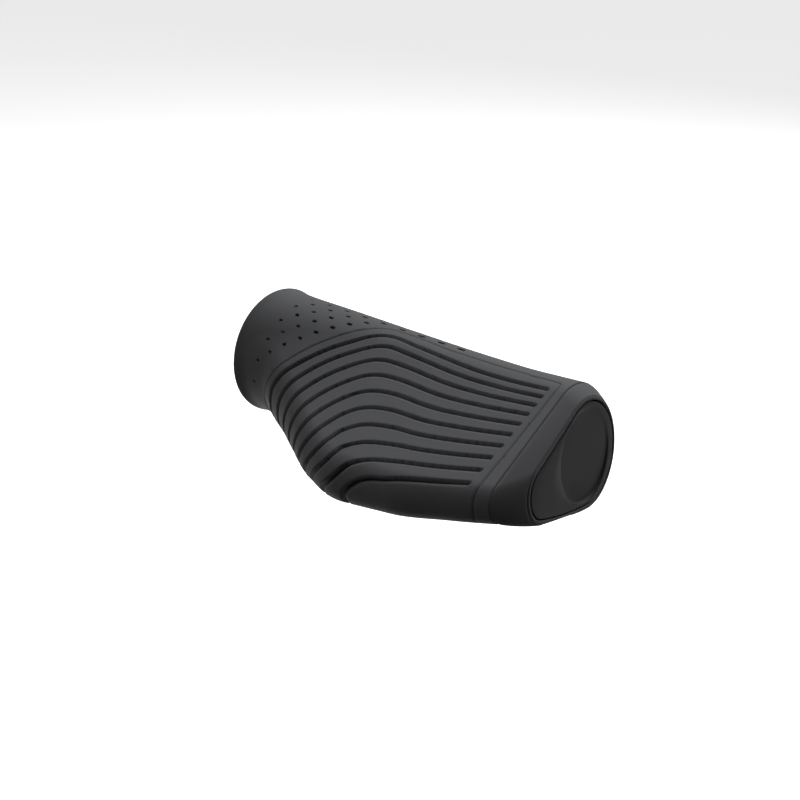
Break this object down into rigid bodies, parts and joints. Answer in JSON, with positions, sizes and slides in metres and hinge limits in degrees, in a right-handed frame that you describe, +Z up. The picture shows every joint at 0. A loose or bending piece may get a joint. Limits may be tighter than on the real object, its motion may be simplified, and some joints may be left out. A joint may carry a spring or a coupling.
{
  "type": "handlebar grip",
  "caption": "Right-hand handlebar grip with a palm rest: grooved rubber sleeve for a 22.2 mm bar, closed at its outer end by a hard cap.",
  "frame": {"origin": "centre of the bar hole in the grip's flat inner end face", "axes": "+X along the bar towards its open end, +Y away from the rider, +Z up"},
  "size_m": [0.1183, 0.0701, 0.0392],
  "materials": {
    "rubber": "soft matt moulded rubber, dark grey",
    "hard_plastic": "finely textured satin plastic, near black"
  },
  "bodies": {
    "root": {"grip_sleeve": "rubber", "end_cap": "hard_plastic"}
  },
  "joints": []
}
